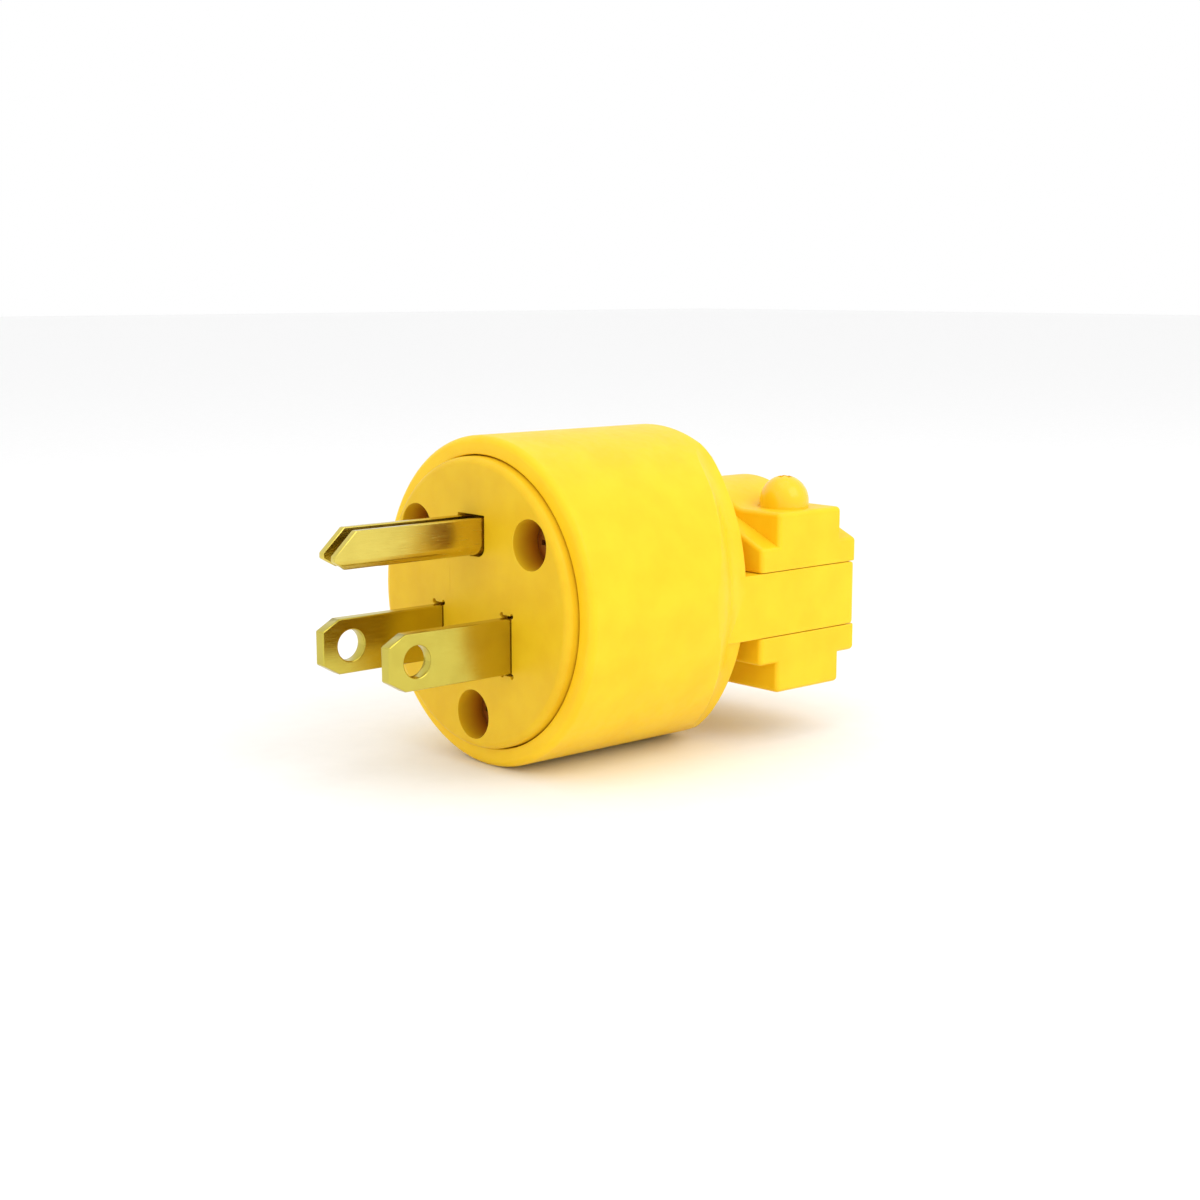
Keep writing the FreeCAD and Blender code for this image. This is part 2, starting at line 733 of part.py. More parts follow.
def make_upper_jaw():
    """The upper jaw: an arched plate with a flat-topped block on it for the screw heads."""
    body = new_body("upper_jaw")
    half = D["clamp_half_width"]
    low = cheek_top + D["jaw_gap"]
    edge = D["plate_edge_height"]
    arch = D["plate_arch_radius"]
    touch_x, touch_rise = touch_point(half, edge, arch)
    pad(body, "arched_plate", "XZ", D["plate_front"], D["plate_back"],
        [(-half, low), (half, low), (half, cord_z + edge), (touch_x, cord_z + touch_rise),
         (-touch_x, cord_z + touch_rise), (-half, cord_z + edge)],
        {3: (arch, 1)})
    pad(body, "screw_block", "XZ", D["block_front"], D["block_back"],
        *arched_top(low, upper_top, cord_z + D["block_arch_lift"], D["block_arch_radius"],
                    D["arch_blend_radius"]))
    round_jaw(body, low)
    cut_saddle(body)
    pocket(body, "upper_screw_seats", "XY", upper_top, upper_top + PAST,
           circles=[(x, D["clamp_screw_depth"], D["screw_seat_radius"])
                    for x in CLAMP_SIDES.values()])
    pocket(body, "upper_screw_holes", "XY", low - PAST, upper_top + PAST,
           circles=[(x, D["clamp_screw_depth"], D["jaw_hole_radius"]) for x in CLAMP_SIDES.values()])
    return body


def hexagon(x, y, flat_half):
    """A hexagon with two corners along Y."""
    reach = flat_half * (1 / COS_30)
    return [
        (x, y + reach), (x - flat_half, y + reach * 0.5), (x - flat_half, y - reach * 0.5),
        (x, y - reach), (x + flat_half, y - reach * 0.5), (x + flat_half, y + reach * 0.5),
    ]


def make_lower_jaw():
    """The lower jaw: a plate with a block under it that holds the two nuts."""
    body = new_body("lower_jaw")
    half = D["clamp_half_width"]
    top = cheek_bottom - D["jaw_gap"]
    plate_low = cord_z - D["lower_plate_height"]
    pad(body, "lower_plate", "XZ", D["plate_front"], D["plate_back"],
        box_corners(-half, half, plate_low, top))
    pad(body, "nut_block", "XZ", D["block_front"], D["block_back"],
        box_corners(-half, half, lower_floor, top))
    round_jaw(body, top)
    cut_saddle(body)
    pocket(body, "lower_screw_holes", "XY", lower_floor - PAST, top + PAST,
           circles=[(x, D["clamp_screw_depth"], D["jaw_hole_radius"]) for x in CLAMP_SIDES.values()])
    ceiling = cord_z - D["nut_pocket_ceiling"]
    for name, x in CLAMP_SIDES.items():
        pocket(body, f"{name}_nut_pocket", "XY", lower_floor - PAST, ceiling,
               hexagon(x, D["clamp_screw_depth"], D["nut_flat_half"] + D["nut_play"]))
    return body


# ---- fasteners and wire plates ----------------------------------------------------------------


def cross_slots(name, reach, top, depth):
    """Two crossed driver slots sunk from a height."""
    width = D["slot_width"] * 0.5
    floor = size(top) - depth
    along = block(f"{name}_slot_along", -reach, reach, -width, width, floor, size(top) + PAST)
    across = block(f"{name}_slot_across", -width, width, -reach, reach, floor, size(top) + PAST)
    return fuse(f"{name}_slots", along, across)


def make_screw(label, head_radius, head_height, shank_radius, shank_length, place, turn):
    """A pan-head screw, its head standing on the plane z = 0 and its shank below it."""
    shank = cylinder(f"{label}_shank", shank_radius, shank_length, z=-shank_length)
    foot = cylinder(f"{label}_foot", head_radius, head_height * 0.6)
    crown = doc.addObject("Part::Cone", f"{label}_crown")
    bind(crown, Radius1=head_radius, Radius2=head_radius * 0.8, Height=head_height * 0.4)
    put(crown, z=head_height * 0.6)
    solid = fuse(f"{label}_solid", shank, foot, crown)
    slots = cross_slots(label, head_radius * 0.7, head_height, D["slot_depth"])
    return finish_piece(cut(label, solid, slots), label, *place, turn)


def make_face_screw(place):
    """One of the three screws that hold the face to the housing."""
    x, z = SCREW_PLACES[place]
    return make_screw(f"face_screw_{place}", D["face_head_radius"], D["face_head_height"],
                      D["small_shank_radius"], D["face_shank_length"],
                      (x, D["recess_depth"], z), TO_MINUS_Y)


def make_wire_plate(label, turn, place):
    """The square wire plate under a terminal screw's head, with two upturned lips that stiffen it."""
    half, thickness = D["plate_side"] * 0.5, D["plate_thickness"]
    sheet = block(f"{label}_sheet", -half, half, -half, half, 0, thickness)
    lip = D["lip_thickness"]
    raised = thickness + lip
    lips = [
        block(f"{label}_lip_{number}", low, high, -half, half, 0, raised)
        for number, (low, high) in enumerate(((-half - lip, -half), (half, half + lip)), start=1)
    ]
    solid = fuse(f"{label}_solid", sheet, *lips)
    hole = cylinder(f"{label}_hole", D["tapped_radius"], raised + 2 * PAST, z=-PAST)
    return finish_piece(cut(label, solid, hole), label, *place, turn)


def make_terminals():
    """The wire plate and the screw of each of the three terminals."""
    outer = D["blade_side"] + D["blade_thickness"] * 0.5 + D["plate_play"]
    above = pin_low + D["pin_sheet"] + D["plate_play"]
    depth = D["terminal_depth"]
    stations = {
        "hot": (TO_X, (outer, depth, blade_z), (outer + D["plate_thickness"], depth, blade_z)),
        "neutral": (TO_MINUS_X, (-outer, depth, blade_z),
                    (-outer - D["plate_thickness"], depth, blade_z)),
        "ground": (TO_Z, (0, depth, above), (0, depth, above + D["plate_thickness"])),
    }
    for name, (turn, plate_place, screw_place) in stations.items():
        make_wire_plate(f"{name}_wire_plate", turn, plate_place)
        make_screw(f"{name}_terminal_screw", D["terminal_head_radius"], D["terminal_head_height"],
                   D["terminal_shank_radius"], D["terminal_shank_length"], screw_place, turn)


def make_clamp_screw(name):
    """A clamp screw with a tall domed head and a cross recess in its crown."""
    label = f"{name}_clamp_screw"
    radius, skirt, height = D["dome_radius"], D["dome_skirt"], D["dome_height"]
    rise = height.value - skirt.value
    ball = size((radius.value ** 2 + rise ** 2) / (2 * rise))
    shank = cylinder(f"{label}_shank", D["small_shank_radius"], D["clamp_shank_length"],
                     z=-D["clamp_shank_length"])
    foot = cylinder(f"{label}_foot", radius, height)
    sphere = doc.addObject("Part::Sphere", f"{label}_ball")
    bind(sphere, Radius=ball)
    put(sphere, z=height - ball)
    crown = doc.addObject("Part::Common", f"{label}_crown")
    crown.Base = foot
    crown.Tool = sphere
    solid = fuse(f"{label}_solid", shank, crown)
    slots = cross_slots(label, size(1.3), height, D["slot_depth"] * 1.3)
    return finish_piece(cut(label, solid, slots), label, CLAMP_SIDES[name], D["clamp_screw_depth"],
                        upper_top, TO_Z)


def make_clamp_nut(name):
    """A hexagon nut held in the lower jaw."""
    label = f"{name}_clamp_nut"
    prism_solid = doc.addObject("Part::Prism", f"{label}_hexagon")
    prism_solid.Polygon = 6
    bind(prism_solid, Circumradius=D["nut_flat_half"] * (1 / COS_30), Height=D["nut_height"])
    put(prism_solid, turn=FreeCAD.Rotation(FreeCAD.Vector(0, 0, 1), 30))
    hole = cylinder(f"{label}_hole", D["jaw_hole_radius"], D["nut_height"] + 2 * PAST, z=-PAST)
    under = cord_z - D["nut_pocket_ceiling"] - D["nut_height"]
    return finish_piece(cut(label, prism_solid, hole), label, CLAMP_SIDES[name],
                        D["clamp_screw_depth"], under, TO_Z)


# ---- build, check and write -------------------------------------------------------------------


def check_document():
    """Stops on any object that failed to compute."""
    for item in doc.Objects:
        if {"Invalid", "Error"} & set(item.State):
            raise RuntimeError(f"{item.Label}: {item.State}")


def write_parts():
    """Checks each finished piece's shape, then writes one STEP file for each."""
    labels = [o.Label for o in doc.Objects if o.TypeId == "PartDesign::Body"]
    labels += [f"insert_{place}" for place in SCREW_PLACES]
    labels += [f"face_screw_{place}" for place in SCREW_PLACES]
    labels += [f"{name}_{kind}" for name in ("hot", "neutral", "ground")
               for kind in ("wire_plate", "terminal_screw")]
    labels += [f"{name}_{kind}" for name in CLAMP_SIDES for kind in ("clamp_screw", "clamp_nut")]
    pieces = {label: doc.getObjectsByLabel(label)[0].Shape for label in labels}
    for label, shape in pieces.items():
        if shape.isNull() or not shape.isValid() or len(shape.Solids) != 1:
            raise RuntimeError(f"{label}: shape is not one valid solid ({len(shape.Solids)})")
    os.makedirs("parts", exist_ok=True)
    for label, shape in pieces.items():
        shape.exportStep(os.path.join("parts", f"{label}.step"))
        box = shape.BoundBox
        print(f"{label:24s} {shape.Volume:10.2f} mm3  x {box.XMin:7.2f} {box.XMax:7.2f}"
              f"  y {box.YMin:7.2f} {box.YMax:7.2f}  z {box.ZMin:7.2f} {box.ZMax:7.2f}")


make_housing()
make_face_plate()
make_terminal_block()
make_blade("hot_blade", D["blade_side"])
make_blade("neutral_blade", -D["blade_side"])
make_ground_pin()
make_upper_jaw()
make_lower_jaw()
for screw_place in SCREW_PLACES:
    make_insert(screw_place)
    make_face_screw(screw_place)
make_terminals()
for clamp_side in CLAMP_SIDES:
    make_clamp_screw(clamp_side)
    make_clamp_nut(clamp_side)
doc.recompute()
check_document()
write_parts()
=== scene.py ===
"""Studio model of a yellow three-pin plug with a cord clamp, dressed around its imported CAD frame.

Every length is in metres, in the CAD frame: the face looks towards -Y, the cord leaves towards +Y
and the ground pin is uppermost.
"""

import json
import logging
import math
from dataclasses import dataclass, field
from enum import Enum
from typing import Any, Iterable

import bmesh
import bpy
from mathutils import Matrix, Vector


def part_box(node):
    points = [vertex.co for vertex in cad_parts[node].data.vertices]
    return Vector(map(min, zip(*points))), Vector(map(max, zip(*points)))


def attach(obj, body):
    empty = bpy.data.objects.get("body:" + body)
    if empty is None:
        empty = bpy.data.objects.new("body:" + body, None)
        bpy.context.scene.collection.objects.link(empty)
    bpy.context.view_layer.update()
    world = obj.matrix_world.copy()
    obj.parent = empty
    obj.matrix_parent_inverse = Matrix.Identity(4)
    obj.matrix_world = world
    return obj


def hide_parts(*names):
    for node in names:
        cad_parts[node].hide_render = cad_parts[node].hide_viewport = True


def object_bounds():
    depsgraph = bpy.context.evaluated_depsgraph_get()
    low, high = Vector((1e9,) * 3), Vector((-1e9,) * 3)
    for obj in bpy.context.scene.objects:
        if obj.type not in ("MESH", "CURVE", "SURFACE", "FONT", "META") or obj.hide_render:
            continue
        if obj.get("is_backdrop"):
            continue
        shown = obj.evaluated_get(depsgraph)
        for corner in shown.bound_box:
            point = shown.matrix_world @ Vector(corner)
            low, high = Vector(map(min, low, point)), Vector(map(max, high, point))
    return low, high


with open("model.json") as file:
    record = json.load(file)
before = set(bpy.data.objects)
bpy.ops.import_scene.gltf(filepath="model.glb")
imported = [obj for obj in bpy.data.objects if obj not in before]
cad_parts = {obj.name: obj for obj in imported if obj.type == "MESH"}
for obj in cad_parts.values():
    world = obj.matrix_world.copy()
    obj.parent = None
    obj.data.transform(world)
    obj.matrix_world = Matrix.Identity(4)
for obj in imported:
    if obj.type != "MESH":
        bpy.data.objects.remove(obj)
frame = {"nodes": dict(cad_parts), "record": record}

LOG = logging.getLogger("plug")
MM = 0.001
MERGE = 2e-6  # vertices closer than this are one
Colour = tuple[float, float, float]
BODY_OF = {
    node: body
    for body, nodes in frame["record"]["behaviour"]["bodies"].items()
    for node in nodes
}


class Slot(Enum):
    """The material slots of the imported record."""

    HOUSING = "housing_yellow"
    FACE = "face_yellow"
    CLAMP = "clamp_yellow"
    CLAMP_SCREW = "clamp_screw_yellow"
    BLOCK = "block_ivory"
    BLADE = "blade_brass"
    PIN = "pin_brass"
    INSERT = "insert_brass"
    FACE_SCREW = "face_screw_brass"
    WIRE_PLATE = "wire_plate_steel"
    HOT_SCREW = "hot_screw_brass"
    NEUTRAL_SCREW = "neutral_screw_nickel"
    GROUND_SCREW = "ground_screw_green"
    NUT = "nut_steel"


class Facing(Enum):
    """The way that a screw's head faces."""

    RIGHT = (1.0, 0.0, 0.0)
    LEFT = (-1.0, 0.0, 0.0)
    FRONT = (0.0, -1.0, 0.0)
    UP = (0.0, 0.0, 1.0)


# ---- node trees -------------------------------------------------------------------------------


class Wiring:
    """A node tree under construction, with short ways to add, fill and join its nodes."""

    def __init__(self, tree: bpy.types.NodeTree) -> None:
        """Starts on a tree, which may already hold nodes."""
        self.tree = tree
        self.entry: bpy.types.Node | None = None

    def inlet(self, name: str, kind: str = "Float") -> None:
        """Declares a named input of the tree."""
        self.tree.interface.new_socket(name=name, in_out="INPUT", socket_type=f"NodeSocket{kind}")

    def outlet(self, name: str, kind: str = "Float") -> None:
        """Declares a named output of the tree."""
        self.tree.interface.new_socket(name=name, in_out="OUTPUT", socket_type=f"NodeSocket{kind}")

    def given(self, name: str) -> bpy.types.NodeSocket:
        """Returns the socket that carries a named input into the tree."""
        if self.entry is None:
            self.entry = self.tree.nodes.new("NodeGroupInput")
        return self.entry.outputs[name]

    def finish(self, **results: bpy.types.NodeSocket) -> None:
        """Joins the results to the tree's outputs."""
        end = self.tree.nodes.new("NodeGroupOutput")
        for name, value in results.items():
            self.feed(end.inputs[name], value)

    def feed(self, socket: bpy.types.NodeSocket, value: Any) -> None:
        """Gives a socket a constant, a link, or several links.

        Args:
            socket: The input to fill.
            value: A socket to link from, a list of such sockets, or a plain value.
        """
        if isinstance(value, bpy.types.NodeSocket):
            self.tree.links.new(value, socket)
        elif isinstance(value, list):
            for source in value:
                self.tree.links.new(source, socket)
        else:
            socket.default_value = value

    def add(self, kind: str, inputs: dict[Any, Any] | None = None, **settings: Any) -> bpy.types.Node:
        """Adds one node.

        Args:
            kind: The node's type name.
            inputs: Values or sources for its inputs, by name or number.
            **settings: Its own properties.

        Returns:
            The new node.
        """
        node = self.tree.nodes.new(kind)
        for name, value in settings.items():
            setattr(node, name, value)
        for key, value in (inputs or {}).items():
            self.feed(node.inputs[key], value)
        return node

    def math(self, operation: str, *values: Any, clamp: bool = False) -> bpy.types.NodeSocket:
        """Adds a Math node and returns its result."""
        node = self.add("ShaderNodeMath", dict(enumerate(values)), operation=operation, use_clamp=clamp)
        return node.outputs[0]

    def noise(self, vector: Any, scale: Any, detail: float) -> bpy.types.NodeSocket:
        """Adds a Noise Texture and returns its factor."""
        node = self.add("ShaderNodeTexNoise", {"Vector": vector, "Scale": scale, "Detail": detail})
        return node.outputs["Fac"]

    def span(self, value: Any, low: float, high: float, start: Any, end: Any) -> bpy.types.NodeSocket:
        """Maps a value from one range to another, held within it."""
        node = self.add("ShaderNodeMapRange", {0: value, 1: low, 2: high, 3: start, 4: end})
        return node.outputs[0]

    def tint(self, factor: Any, first: Any, second: Any) -> bpy.types.NodeSocket:
        """Mixes two colours by a factor."""
        node = self.add("ShaderNodeMix", data_type="RGBA")
        for name, value in (("Factor_Float", factor), ("A_Color", first), ("B_Color", second)):
            socket = next(s for s in node.inputs if s.identifier == name)
            self.feed(socket, (*value, 1.0) if isinstance(value, tuple) else value)
        return next(s for s in node.outputs if s.identifier == "Result_Color")


# ---- shader groups that several finishes share ------------------------------------------------


def grain_group() -> bpy.types.NodeTree:
    """Builds the group for a moulded surface: fine grain, soft dimples and slow mottling."""
    build = Wiring(bpy.data.node_groups.new("moulded_grain", "ShaderNodeTree"))
    build.inlet("Vector", "Vector")
    build.inlet("Grain Scale")
    for name in ("Height", "Mottle", "Gloss"):
        build.outlet(name)
    place, scale = build.given("Vector"), build.given("Grain Scale")
    fine = build.noise(place, scale, 4.0)
    dimples = build.noise(place, build.math("MULTIPLY", scale, 0.22), 2.0)
    mottle = build.noise(place, build.math("MULTIPLY", scale, 0.045), 3.0)
    build.finish(
        Height=build.math("ADD", build.math("MULTIPLY", fine, 0.6), build.math("MULTIPLY", dimples, 0.4)),
        Mottle=build.span(mottle, 0.35, 0.65, 0.0, 1.0),
        Gloss=build.span(dimples, 0.3, 0.7, -0.05, 0.05),
    )
    return build.tree


def wear_group() -> bpy.types.NodeTree:
    """Builds the group that turns a piece's edge attribute into patchy rubbing."""
    build = Wiring(bpy.data.node_groups.new("edge_wear", "ShaderNodeTree"))
    build.inlet("Edge")
    build.inlet("Vector", "Vector")
    build.inlet("Amount")
    build.outlet("Mask")
    patches = build.span(build.noise(build.given("Vector"), 900.0, 3.0), 0.35, 0.7, 0.25, 1.0)
    rubbed = build.math("MULTIPLY", build.given("Edge"), patches)
    build.finish(Mask=build.math("MULTIPLY", rubbed, build.given("Amount"), clamp=True))
    return build.tree


def brushed_group() -> bpy.types.NodeTree:
    """Builds the group for drawn or plated metal: streaks along one way, and slow tarnish."""
    build = Wiring(bpy.data.node_groups.new("brushed_metal", "ShaderNodeTree"))
    build.inlet("Vector", "Vector")
    build.inlet("Stretch", "Vector")
    for name in ("Height", "Streak", "Tarnish"):
        build.outlet(name)
    drawn = build.add(
        "ShaderNodeVectorMath", {0: build.given("Vector"), 1: build.given("Stretch")}, operation="MULTIPLY"
    ).outputs[0]
    streak = build.noise(drawn, 1.0, 5.0)
    tarnish = build.noise(build.given("Vector"), 260.0, 4.0)
    build.finish(
        Height=streak,
        Streak=build.span(streak, 0.3, 0.7, 0.0, 1.0),
        Tarnish=build.span(tarnish, 0.42, 0.72, 0.0, 1.0),
    )
    return build.tree


@dataclass(frozen=True)
class Effects:
    """The shader groups, built once and placed in each finish."""

    grain: bpy.types.NodeTree = field(default_factory=grain_group)
    wear: bpy.types.NodeTree = field(default_factory=wear_group)
    brushed: bpy.types.NodeTree = field(default_factory=brushed_group)


def start_material(name: str) -> tuple[bpy.types.Material, Wiring, bpy.types.Node, Any]:
    """Starts a node material.

    Args:
        name: The material's name.

    Returns:
        The material, its wiring, its Principled shader and its object coordinates.
    """
    material = bpy.data.materials.new(name)
    material.use_nodes = True
    build = Wiring(material.node_tree)
    shader = material.node_tree.nodes["Principled BSDF"]
    place = build.add("ShaderNodeTexCoord").outputs["Object"]
    return material, build, shader, place


def rub_edges(build: Wiring, effects: Effects, place: Any, amount: float) -> Any:
    """Places the edge wear group and returns its mask."""
    edge = build.add("ShaderNodeAttribute", attribute_name="edge").outputs["Fac"]
    wear = build.add("ShaderNodeGroup", node_tree=effects.wear)
    for name, value in (("Edge", edge), ("Vector", place), ("Amount", amount)):
        build.feed(wear.inputs[name], value)
    return wear.outputs["Mask"]


PAINTED_SHADE_IN_WELLS_COLOUR: Colour = (0.50, 0.13, 0.006)  # painted shade: the face's colour at the bottom of its wells, darkened where shade falls
GLOW_SPREAD: Colour = (1.0, 0.45, 0.08)  # red light travels furthest through the yellow vinyl
PLASTIC_SHEEN = 0.25
PLASTIC_WEAR = 0.5
METAL_WEAR = 0.7
TARNISH_SHARE = 0.6


@dataclass(frozen=True)
class Plastic:
    """A moulded plastic, solid or coated on."""

    name: str
    colour: Colour
    deep: Colour
    worn: Colour
    roughness: float
    grain_size: float
    grain_depth: float
    glow: float = 0.0
    glow_reach: float = 0.8 * MM
    coat: float = 0.0
    mould_line_and_painted_shade: bool = False

    def material(self, effects: Effects) -> bpy.types.Material:
        """Builds the finish and returns its material."""
        material, build, shader, place = start_material(self.name)
        grain = build.add("ShaderNodeGroup", node_tree=effects.grain)
        build.feed(grain.inputs["Vector"], place)
        build.feed(grain.inputs["Grain Scale"], 1.0 / self.grain_size)
        body = build.tint(grain.outputs["Mottle"], self.colour, self.deep)
        height = grain.outputs["Height"]
        # the mould line is a real mark; the darkening of the wells below it is painted shade
        if self.mould_line_and_painted_shade:
            line = mould_line(build, place)
            body = build.tint(line, body, self.deep)
            # painted shade: the face grows darker towards the bottom of its wells and slots
            body = build.tint(painted_shade_in_wells(build, place), body, PAINTED_SHADE_IN_WELLS_COLOUR)
            height = build.math("SUBTRACT", height, line)
        shown = build.tint(rub_edges(build, effects, place, PLASTIC_WEAR), body, self.worn)
        build.feed(shader.inputs["Base Color"], shown)
        build.feed(shader.inputs["Roughness"], build.math("ADD", grain.outputs["Gloss"], self.roughness))
        bump = build.add("ShaderNodeBump", {"Strength": 1.0, "Distance": self.grain_depth, "Height": height})
        build.feed(shader.inputs["Normal"], bump.outputs["Normal"])
        shader.inputs["Specular IOR Level"].default_value = PLASTIC_SHEEN
        shader.inputs["Subsurface Weight"].default_value = self.glow
        shader.inputs["Subsurface Radius"].default_value = GLOW_SPREAD
        shader.inputs["Subsurface Scale"].default_value = self.glow_reach
        shader.inputs["Coat Weight"].default_value = self.coat
        shader.inputs["Coat Roughness"].default_value = 0.12
        return material


def mould_line(build: Wiring, place: Any) -> Any:
    """Masks the short vertical line that the mould left on the face.

    Args:
        build: The material's wiring.
        place: Its object coordinates.

    Returns:
        A mask that is one on the line.
    """
    middle, half_width, low, high = -4.1 * MM, 0.07 * MM, 0.9 * MM, 4.0 * MM
    axes = build.add("ShaderNodeSeparateXYZ", {0: place})
    aside = build.math("COMPARE", axes.outputs["X"], middle, half_width)
    reach = build.math("COMPARE", axes.outputs["Z"], (low + high) / 2, (high - low) / 2)
    front = build.math("LESS_THAN", axes.outputs["Y"], 0.2 * MM)
    return build.math("MULTIPLY", build.math("MULTIPLY", aside, reach), front)


def painted_shade_in_wells(build: Wiring, place: Any) -> Any:
    """Masks the deep parts of the face's wells and slots, where painted shade darkens its colour.

    Args:
        build: The material's wiring.
        place: Its object coordinates.

    Returns:
        A painted-shade mask that grows with depth behind the front plane and is zero at the outer rim.
    """
    axes = build.add("ShaderNodeSeparateXYZ", {0: place})
    depth = build.span(axes.outputs["Y"], 0.3 * MM, 3.2 * MM, 0.0, 0.85)
    flat = build.add("ShaderNodeCombineXYZ", {"X": axes.outputs["X"], "Z": axes.outputs["Z"]}).outputs[0]
    reach = build.add("ShaderNodeVectorMath", {0: flat}, operation="LENGTH").outputs["Value"]
    return build.math("MULTIPLY", depth, build.math("LESS_THAN", reach, 16.8 * MM))


@dataclass(frozen=True)
class Metal:
    """A bare or plated metal with the marks of its making."""

    name: str
    colour: Colour
    tarnish: Colour
    roughness: float
    stretch: Colour
    mark_depth: float = 0.004 * MM
    coat: float = 0.0

    def material(self, effects: Effects) -> bpy.types.Material:
        """Builds the finish and returns its material."""
        material, build, shader, place = start_material(self.name)
        brushed = build.add("ShaderNodeGroup", node_tree=effects.brushed)
        build.feed(brushed.inputs["Vector"], place)
        build.feed(brushed.inputs["Stretch"], self.stretch)
        aged = build.math("MULTIPLY", brushed.outputs["Tarnish"], TARNISH_SHARE)
        body = build.tint(aged, self.colour, self.tarnish)
        bright = tuple(min(1.0, 1.15 * part) for part in self.colour)
        shown = build.tint(rub_edges(build, effects, place, METAL_WEAR), body, bright)
        build.feed(shader.inputs["Base Color"], shown)
        smooth, rough = self.roughness * 0.8, self.roughness * 1.3
        build.feed(shader.inputs["Roughness"], build.span(brushed.outputs["Streak"], 0.0, 1.0, smooth, rough))
        bump = build.add("ShaderNodeBump", {
            "Strength": 0.6, "Distance": self.mark_depth, "Height": brushed.outputs["Height"],
        })
        build.feed(shader.inputs["Normal"], bump.outputs["Normal"])
        shader.inputs["Metallic"].default_value = 1.0
        shader.inputs["Coat Weight"].default_value = self.coat
        return material


ALONG_Y = (9000.0, 500.0, 9000.0)  # noise cells per metre, for marks that run front to back
EVEN = (4000.0, 4000.0, 4000.0)
LATHE = (1500.0, 9000.0, 1500.0)

FINISHES: dict[Slot, Plastic | Metal] = {
    Slot.HOUSING: Plastic("housing_vinyl", (0.94, 0.62, 0.012), (0.92, 0.57, 0.008), (0.96, 0.72, 0.06),
                          0.42, 0.22 * MM, 0.010 * MM, glow=0.12),
    # the face plate carries painted shade in its wells
    Slot.FACE: Plastic("face_nylon", (0.83, 0.53, 0.012), (0.79, 0.48, 0.009), (0.92, 0.66, 0.07),
                       0.48, 0.18 * MM, 0.012 * MM, glow=0.10, mould_line_and_painted_shade=True),
    Slot.CLAMP: Plastic("clamp_vinyl", (0.94, 0.61, 0.012), (0.92, 0.56, 0.008), (0.96, 0.72, 0.07),
                        0.44, 0.22 * MM, 0.010 * MM, glow=0.12),
    Slot.CLAMP_SCREW: Plastic("screw_coat_yellow", (0.92, 0.62, 0.014), (0.88, 0.56, 0.010),
                              (0.80, 0.62, 0.22), 0.28, 0.5 * MM, 0.004 * MM, coat=0.25),
    Slot.BLOCK: Plastic("block_compound", (0.74, 0.68, 0.52), (0.68, 0.61, 0.44), (0.84, 0.80, 0.68),
                        0.55, 0.15 * MM, 0.012 * MM, glow=0.05),
    Slot.BLADE: Metal("blade_brass", (0.57, 0.48, 0.080), (0.47, 0.37, 0.055), 0.20, ALONG_Y),
    Slot.PIN: Metal("pin_brass", (0.68, 0.55, 0.11), (0.56, 0.43, 0.08), 0.22, ALONG_Y),
    Slot.INSERT: Metal("insert_brass", (0.68, 0.50, 0.20), (0.50, 0.36, 0.13), 0.30, LATHE),
    Slot.FACE_SCREW: Metal("face_screw_brass", (0.42, 0.22, 0.07), (0.26, 0.13, 0.04), 0.34, EVEN),
    Slot.WIRE_PLATE: Metal("wire_plate_zinc", (0.62, 0.62, 0.60), (0.48, 0.48, 0.45), 0.34, ALONG_Y),
    Slot.HOT_SCREW: Metal("hot_screw_brass", (0.75, 0.56, 0.20), (0.58, 0.41, 0.13), 0.24, EVEN),
    Slot.NEUTRAL_SCREW: Metal("neutral_screw_nickel", (0.70, 0.69, 0.66), (0.56, 0.55, 0.51), 0.20, EVEN),
    Slot.GROUND_SCREW: Metal("ground_screw_green", (0.05, 0.36, 0.13), (0.03, 0.22, 0.08), 0.30, EVEN,
                             coat=0.3),
    Slot.NUT: Metal("nut_zinc", (0.60, 0.60, 0.58), (0.46, 0.46, 0.43), 0.33, LATHE),
}


# ---- meshes -----------------------------------------------------------------------------------


def show(mesh: bpy.types.Mesh, name: str) -> bpy.types.Object:
    """Puts a mesh in the scene as an object at the origin and returns it."""
    piece = bpy.data.objects.new(name, mesh)
    bpy.context.scene.collection.objects.link(piece)
    return piece


def settle(piece: bpy.types.Object, node: str) -> bpy.types.Object:
    """Hands a finished piece to the frame, in place of its CAD node.

    Args:
        piece: The finished object.
        node: The CAD node it stands for.

    Returns:
        The same object.
    """
    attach(piece, BODY_OF[node])
    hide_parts(node)
    return piece


def smooth(mesh: bpy.types.Mesh, angle: float = 40.0) -> None:
    """Shades a mesh smooth, apart from edges sharper than an angle in degrees."""
    mesh.shade_smooth()
    mesh.set_sharp_from_angle(angle=math.radians(angle))


